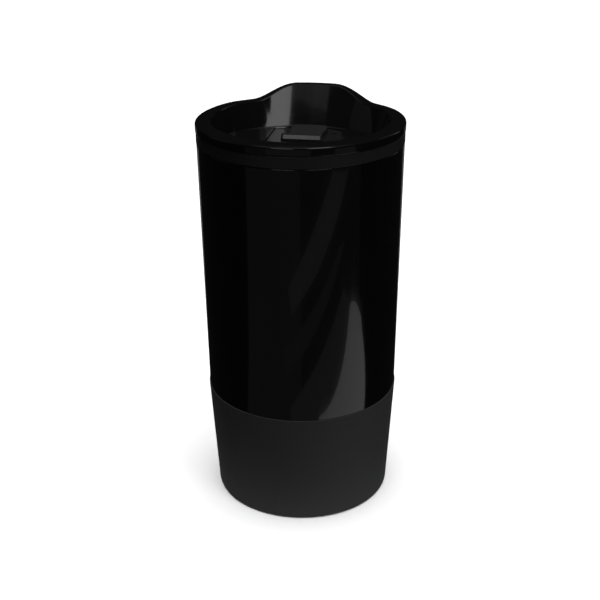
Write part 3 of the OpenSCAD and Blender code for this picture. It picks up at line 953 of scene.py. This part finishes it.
class TUMBLER_OT_lid(bpy.types.Operator):
    """Press-in lid with its dish, raised sip side, track, sip opening, stem slot and vent."""

    bl_idname = "tumbler.lid"
    bl_label = "Drinking lid"

    def track_outline(self, shape, inset, steps=24):
        """Track's outline: a wide band from the front to the leaning wall's foot."""
        s = shape.s
        half = s.track_width / 2 - inset
        front = -0.7 * s.dish_floor_r + inset
        cone_r = s.sip_foot_y + s.sip_shift - 0.75 * MM - inset
        points = [(-half, front), (half, front)]
        reach = math.asin(half / cone_r)
        for i in range(steps + 1):
            t = reach - 2 * reach * i / steps
            points.append((cone_r * math.sin(t), cone_r * math.cos(t) - s.sip_shift))
        return points

    def execute(self, context):
        lid = context.scene.tumbler_lid
        slider = context.scene.tumbler_slider
        shape = LidShape(lid)
        track = shape.floor - lid.track_depth
        edge = 0.3 * MM
        below = shape.floor_low - 1 * MM
        above = shape.floor + 1 * MM
        hole = (0.0, lid.sip_foot_y - lid.sip_hole_back)
        stem_front, stem_back = stem_span(slider)
        slot_front = stem_front - slider.travel - slider.slot_gap
        slot_back = stem_back + slider.slot_gap
        slot_w = slider.stem_width + 2 * slider.slot_gap
        slot_middle = (0.0, (slot_front + slot_back) / 2)

        def cut(name, outline):
            """Cutter that goes through the floor and flares at the track's face."""
            levels = ((below, 0), (track - edge, 0), (track, edge), (above, edge))
            return loft(name, [(z, outline(grow)) for z, grow in levels])

        cutters = [
            loft(
                "track",
                [
                    (track, self.track_outline(shape, edge)),
                    (shape.floor, self.track_outline(shape, 0)),
                    (above, self.track_outline(shape, 0)),
                ],
            ),
            cut("sip", lambda grow: slot_outline(lid.sip_hole_length, lid.sip_hole_width, hole, grow)),
            cut("slot", lambda grow: box_outline(slot_w, slot_back - slot_front, slot_middle, grow)),
            cut("vent", lambda grow: slot_outline(lid.vent, lid.vent, (lid.vent_x, hole[1]), grow / 2)),
        ]
        piece = joined("drinking_lid", swept_lid(shape, lid.segments), cutters, "DIFFERENCE")
        dress(piece, "polished_abs")
        stand_for(piece, "lid_body", "lid")
        return {"FINISHED"}


def dress(piece, finish, sharp=40):
    """Gives a piece its only material, smooth shading and sharp creases."""
    piece.data.materials.clear()
    piece.data.materials.append(finish_named(finish))
    for face in piece.data.polygons:
        face.use_smooth = True
        face.material_index = 0
    piece.data.set_sharp_from_angle(angle=math.radians(sharp))


# ---------------------------------------------------------------- slider


def stem_span(sizes):
    """Front and back of the slider's stem."""
    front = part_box("slider")[0].y + 1 * MM
    return front, front + sizes.stem_length


def bevelled(low, high, outline, edge, steps=6):
    """Levels of a plate whose top edge is rounded. outline takes how far it is drawn in."""
    levels = [(low, outline(0.0)), (high - edge - 0.1 * MM, outline(0.0))]
    for i in range(steps + 1):
        t = math.pi / 2 * i / steps
        levels.append((high - edge + edge * math.sin(t), outline(edge * (1 - math.cos(t)))))
    return levels


class TUMBLER_OT_slider(bpy.types.Operator):
    """Slider: fan-shaped plate, thumb bar with round ends, and the stem that goes down through the slot."""

    bl_idname = "tumbler.slider"
    bl_label = "Slider"

    def plate_outline(self, sizes, lid, inset, steps=8):
        """Plate's outline, narrow beside the thumb bar and rounded along the leaning wall's foot."""
        low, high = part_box("slider")
        front = low.y + inset
        near = sizes.near_width / 2 - inset
        far = sizes.far_width / 2 - inset
        cone_r = high.y + lid.sip_shift - inset
        corner = sizes.corner
        points = [(-near, front), (near, front)]
        reach = math.asin((far - corner) / (cone_r - corner))
        cx = (cone_r - corner) * math.sin(reach)
        cy = (cone_r - corner) * math.cos(reach) - lid.sip_shift
        start = math.radians(-4)
        end = math.pi / 2 - reach
        turns = [start + (end - start) * i / steps for i in range(steps + 1)]
        right = [(cx + corner * math.cos(t), cy + corner * math.sin(t)) for t in turns]
        middle = []
        for i in range(1, 12):
            t = reach - 2 * reach * i / 12
            middle.append((cone_r * math.sin(t), cone_r * math.cos(t) - lid.sip_shift))
        left = [(-x, y) for x, y in reversed(right)]
        return points + right + middle + left

    def bar_levels(self, sizes, middle, bar_length, low, plate_top, high):
        """Levels of the thumb bar, whose front leans back for the thumb and whose top edge is rounded."""
        edge = 0.35 * MM
        start = plate_top + 0.1 * MM
        steep = sizes.bar_lean / (high - edge - start)
        levels = [(low, 0.0, 0.0)]
        near = 0.1 * MM
        for z in (start, start + near, high - edge - near, high - edge):
            levels.append((z, steep * (z - start), 0.0))
        for i in range(1, 5):
            t = math.pi / 2 * i / 4
            levels.append((high - edge + edge * math.sin(t), sizes.bar_lean, edge * (1 - math.cos(t))))
        return [
            (
                z,
                slot_outline(
                    bar_length - lean,
                    sizes.bar_width - lean,
                    (middle[0], middle[1] + lean / 2),
                    -inset,
                    support=0.4 * MM,
                ),
            )
            for z, lean, inset in levels
        ]

    def execute(self, context):
        sizes = context.scene.tumbler_slider
        lid = context.scene.tumbler_lid
        low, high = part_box("slider")
        under = foot_of("slider_seal")
        plate_top = under + sizes.plate_height
        bar_length = high.x - low.x
        bar = (0.0, low.y + sizes.bar_width / 2)
        stem_front, stem_back = stem_span(sizes)
        stem = (0.0, (stem_front + stem_back) / 2)
        hole = (0.0, lid.sip_foot_y - lid.sip_hole_back)
        lap = 2 * (sizes.seal_lap + 0.05 * MM)

        levels = bevelled(under, plate_top, lambda inset: self.plate_outline(sizes, lid, inset), 0.45 * MM)
        plate = loft("plate", levels)
        grip = loft("grip", self.bar_levels(sizes, bar, bar_length, under + 0.3 * MM, plate_top, high.z))
        shank = loft(
            "shank",
            [
                (low.z, box_outline(sizes.stem_width, sizes.stem_length, stem, -0.3 * MM)),
                (low.z + 0.3 * MM, box_outline(sizes.stem_width, sizes.stem_length, stem)),
                (under + 0.5 * MM, box_outline(sizes.stem_width, sizes.stem_length, stem)),
            ],
        )
        pocket_outline = slot_outline(lid.sip_hole_length + lap, lid.sip_hole_width + lap, hole)
        pocket_top = under + sizes.seal_height + 0.05 * MM
        pocket = loft("pocket", [(under - 1 * MM, pocket_outline), (pocket_top, pocket_outline)])
        whole = joined("slider_union", plate, [grip, shank], "UNION")
        piece = joined("sip_slider", whole.data.copy(), [pocket], "DIFFERENCE")
        bpy.data.objects.remove(whole)
        dress(piece, "slider_abs", 20)
        stand_for(piece, "slider", "slider")
        return {"FINISHED"}


class TUMBLER_OT_inner_pieces(bpy.types.Operator):
    """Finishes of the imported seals, pad and clip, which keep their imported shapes."""

    bl_idname = "tumbler.inner_pieces"
    bl_label = "Seals and clip"

    def execute(self, context):
        finishes = {
            "collar_seal": "clear_silicone",
            "base_seal": "clear_silicone",
            "liner_pad": "clear_silicone",
            "slider_seal": "dark_silicone",
            "slider_clip": "moulded_acetal",
        }
        for node, finish in finishes.items():
            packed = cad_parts[node]
            packed.data.materials.clear()
            packed.data.materials.append(finish_named(finish))
        return {"FINISHED"}


# ---------------------------------------------------------------- stage


def aimed(made, place, target):
    """Puts a camera or light at a place and points it at a target."""
    made.location = place
    made.rotation_mode = "QUATERNION"
    made.rotation_quaternion = (Vector(target) - Vector(place)).to_track_quat("-Z", "Y")
    return made


def soft_light(name, place, target, size, power, tint="#FFFFFF", glossy=True):
    """Rectangular area light. One that isn't glossy lights the tumbler without being mirrored in it."""
    data = bpy.data.lights.new(name, "AREA")
    data.shape = "RECTANGLE"
    data.size, data.size_y = size
    data.energy = power
    data.color = linear(tint)[:3]
    made = bpy.data.objects.new(name, data)
    bpy.context.scene.collection.objects.link(made)
    made.visible_camera = False
    made.visible_glossy = glossy
    return aimed(made, place, target)


def heading(around, above):
    """Direction at an angle round from -Y towards +X, and at an angle above level."""
    level = math.cos(above)
    return Vector((math.sin(around) * level, -math.cos(around) * level, math.sin(above)))


def bowed(start, pull, end, steps=8):
    """Points of a card's edge, bowed towards pull."""
    spots = [Vector(spot) for spot in (start, pull, end)]
    return [tuple(bow(*spots, i / steps)) for i in range(steps + 1)]


def band(near, far, left, right, steps=4):
    """Points of a card between two distances from the axis, from one angle to another in degrees."""
    turns = [math.radians(left + (right - left) * i / steps) for i in range(steps + 1)]
    inner = [tuple(heading(t, 0).xy * near) for t in turns]
    return inner + [tuple(heading(t, 0).xy * far) for t in reversed(turns)]


# Cards that lie in front of the tumbler: name, glow, height and outline in mm from the tumbler's axis, with
# the camera behind -Y. They give the shell its upright patch of light and its dim band and streaks.
# Where two overlap, the higher one is mirrored.
FLOOR_CARDS = (
    (
        "bright_card",
        0.38,
        0.8,
        bowed((35, -120), (110, -115), (200, -150))
        + bowed((210, -145), (230, -120), (210, -85))
        + bowed((200, -80), (150, -25), (60, -50)),
    ),
    (
        "near_streak",
        0.055,
        0.7,
        bowed((-30, -130), (30, -195), (200, -195))
        + bowed((205, -145), (110, -110), (35, -115))
        + [(0, -90)],
    ),
    (
        "middle_streak",
        0.038,
        0.6,
        bowed((-65, -190), (40, -270), (220, -265)) + bowed((265, -245), (55, -240), (-55, -160)),
    ),
    (
        "far_streak",
        0.06,
        0.5,
        bowed((-70, -275), (60, -395), (285, -430)) + bowed((405, -325), (60, -320), (-45, -240)),
    ),
    ("rim_left", 0.062, 0.48, band(585, 760, -36, 10)),
    ("rim_right", 0.07, 0.46, band(585, 760, 35, 58)),
    ("band_card", 0.03, 0.4, [(-40, -23), (-820, -480), (-560, -780), (-20, -950), (0, -46)]),
    ("rear_card", 0.1, 0.4, [(-22, 39), (-450, 780), (0, 900), (450, 780), (22, 39)]),
    ("front_card", 0.014, 0.3, [(0, -46), (-20, -950), (480, -820), (860, -400), (42, -19)]),
)
# Cards a metre from the lid's leaning wall, which mirrors them: name, glow and corners. A corner is an
# angle to the right of the camera's side and an angle above level, in degrees.
HIGH_CARDS = (
    ("high_card", 0.17, [(5, 58), (-24, 56.9), (-24, 67), (5, 68)]),
    ("side_card", 0.2, [(-24, 56.9), (-45, 53.9), (-45, 64), (-24, 67)]),
)


class TUMBLER_OT_stage(bpy.types.Operator):
    """Pale floor, soft studio light and the camera."""

    bl_idname = "tumbler.stage"
    bl_label = "Stage"

    def camera(self, stage):
        """Camera at the set distance and height, tilted, panned and rolled."""
        data = bpy.data.cameras.new("studio_camera")
        data.sensor_width = 36
        data.lens = stage.lens
        data.clip_start = 0.01
        made = bpy.data.objects.new("studio_camera", data)
        bpy.context.scene.collection.objects.link(made)
        turn = Matrix.Rotation(stage.azimuth, 4, "Z")
        level = Matrix.Rotation(math.pi / 2 - stage.pitch, 4, "X")
        pan = Matrix.Rotation(-stage.pan, 4, "Z")
        roll = Matrix.Rotation(stage.roll, 4, "Z")
        place = Matrix.Translation((0, -stage.distance, stage.height))
        made.matrix_world = turn @ place @ pan @ level @ roll
        bpy.context.scene.camera = made

    def floor(self):
        """Large painted floor that the tumbler stands on."""
        half = 3.0
        mesh = bpy.data.meshes.new("studio_floor")
        corners = [(-half, -half, 0), (half, -half, 0), (half, half, 0), (-half, half, 0)]
        mesh.from_pydata(corners, [], [(0, 1, 2, 3)])
        made = bpy.data.objects.new("studio_floor", mesh)
        bpy.context.scene.collection.objects.link(made)
        mesh.materials.append(finish_named("painted_floor"))
        made.visible_glossy = False
        made.visible_diffuse = False

    def overhead(self):
        """Very soft, even light from straight above, so that the floor is as pale far off as it is near."""
        data = bpy.data.lights.new("overhead", "SUN")
        data.energy = 4.3
        data.angle = math.radians(60)
        made = bpy.data.objects.new("overhead", data)
        bpy.context.scene.collection.objects.link(made)
        made.location = (0, 0, 2)
        made.visible_glossy = False

    def card(self, name, glow, outline):
        """Low card beside the tumbler. Only the tumbler's gloss mirrors it, and it lights nothing."""
        mesh = bpy.data.meshes.new(name)
        mesh.from_pydata(outline, [], [tuple(range(len(outline)))])
        made = bpy.data.objects.new(name, mesh)
        bpy.context.scene.collection.objects.link(made)
        material = bpy.data.materials.new(name)
        material.use_nodes = True
        tree = material.node_tree
        tree.nodes.clear()
        shine = add_node(tree, "ShaderNodeEmission", {"Color": linear("#FFFFFF"), "Strength": glow})
        add_node(tree, "ShaderNodeOutputMaterial", {"Surface": shine.outputs[0]})
        mesh.materials.append(material)
        made.visible_camera = False
        made.visible_diffuse = False
        made.visible_shadow = False

    def world(self):
        """White surround for the camera, and a dim one for what the tumbler mirrors."""
        world = bpy.data.worlds.new("studio_surround")
        bpy.context.scene.world = world
        world.use_nodes = True
        tree = world.node_tree
        tree.nodes.clear()
        path = add_node(tree, "ShaderNodeLightPath")
        dim = add_node(tree, "ShaderNodeBackground", {"Color": linear("#FFFFFF"), "Strength": 0.004})
        white = add_node(tree, "ShaderNodeBackground", {"Color": linear("#FFFFFF"), "Strength": 1.0})
        mixed = add_node(
            tree,
            "ShaderNodeMixShader",
            {0: path.outputs["Is Camera Ray"], 1: dim.outputs[0], 2: white.outputs[0]},
        )
        add_node(tree, "ShaderNodeOutputWorld", {"Surface": mixed.outputs[0]})

    def execute(self, context):
        context.scene.view_settings.view_transform = "Standard"
        stage = context.scene.tumbler_stage
        self.camera(stage)
        self.floor()
        self.world()
        turn = Matrix.Rotation(stage.azimuth, 3, "Z")
        body = Vector((0, 0, 0.09))
        lid = Vector((0, 0, 0.165))
        self.overhead()
        soft_light("key", turn @ Vector((1.0, -1.0, 0.45)), body, (0.6, 0.8), 7.5, glossy=False)
        soft_light("foot_glow", (0, 0, 0.0002), (0, 0, 1), (0.12, 0.12), 0.045, glossy=False)
        soft_light("softbox", lid + turn @ Vector((0.265, -0.509, 0.819)), lid, (0.35, 0.35), 0.62)
        soft_light("skylight", lid + turn @ Vector((0.17, 0.06, 0.98)), lid, (0.25, 0.20), 0.24)
        soft_light("thumb_light", lid + turn @ Vector((-0.28, -0.75, 0.50)), lid, (0.34, 0.26), 0.38)
        soft_light("top_box", lid + Vector((0, 0, 1.2)), lid, (1.1, 1.1), 0.66)
        soft_light("left_box", turn @ Vector((-0.9, 0.1, 0.45)), body, (0.5, 0.9), 0.05)
        soft_light("right_box", turn @ Vector((0.8, 0.5, 0.45)), body, (0.2, 0.9), 0.12)
        for name, glow, z, outline in FLOOR_CARDS:
            self.card(name, glow, [turn @ Vector((x * MM, y * MM, z * MM)) for x, y in outline])
        sip_wall = Vector((0, 33, 168)) * MM
        for name, glow, outline in HIGH_CARDS:
            self.card(name, glow, [turn @ (sip_wall + heading(*map(math.radians, o))) for o in outline])
        return {"FINISHED"}


class TUMBLER_PT_panel(bpy.types.Panel):
    """Sidebar panel with the sizes, the finishes and a button for each piece."""

    bl_idname = "TUMBLER_PT_panel"
    bl_label = "Insulated tumbler"
    bl_space_type = "VIEW_3D"
    bl_region_type = "UI"
    bl_category = "Tumbler"

    def draw(self, context):
        layout = self.layout
        scene = context.scene
        for title, group in (
            ("Body", scene.tumbler_body),
            ("Lid", scene.tumbler_lid),
            ("Slider", scene.tumbler_slider),
            ("Finishes", scene.tumbler_finishes),
            ("Stage", scene.tumbler_stage),
        ):
            box = layout.box()
            box.label(text=title)
            for name in group.__annotations__:
                box.prop(group, name)
        for step in PIECES:
            layout.operator(step.bl_idname)


PIECES = (
    TUMBLER_OT_shell,
    TUMBLER_OT_sleeve,
    TUMBLER_OT_collar,
    TUMBLER_OT_liner,
    TUMBLER_OT_base,
    TUMBLER_OT_gasket,
    TUMBLER_OT_lid,
    TUMBLER_OT_slider,
    TUMBLER_OT_inner_pieces,
    TUMBLER_OT_stage,
)
GROUPS = {
    "tumbler_body": TumblerBodySizes,
    "tumbler_lid": TumblerLidSizes,
    "tumbler_slider": TumblerSliderSizes,
    "tumbler_finishes": TumblerFinishes,
    "tumbler_stage": TumblerStage,
}


def register():
    """Registers the sizes, the operators and the panel."""
    for cls in (*GROUPS.values(), *PIECES, TUMBLER_PT_panel):
        bpy.utils.register_class(cls)
    for name, group in GROUPS.items():
        setattr(bpy.types.Scene, name, PointerProperty(type=group))


def unregister():
    """Takes everything back out, in the other order."""
    for name in reversed(GROUPS):
        delattr(bpy.types.Scene, name)
    for cls in reversed((*GROUPS.values(), *PIECES, TUMBLER_PT_panel)):
        bpy.utils.unregister_class(cls)


def main():
    """Builds every piece and the stage."""
    register()
    bpy.ops.tumbler.shell()
    bpy.ops.tumbler.sleeve()
    bpy.ops.tumbler.collar()
    bpy.ops.tumbler.liner()
    bpy.ops.tumbler.base()
    bpy.ops.tumbler.gasket()
    bpy.ops.tumbler.lid()
    bpy.ops.tumbler.slider()
    bpy.ops.tumbler.inner_pieces()
    bpy.ops.tumbler.stage()


if __name__ == "__main__":
    main()
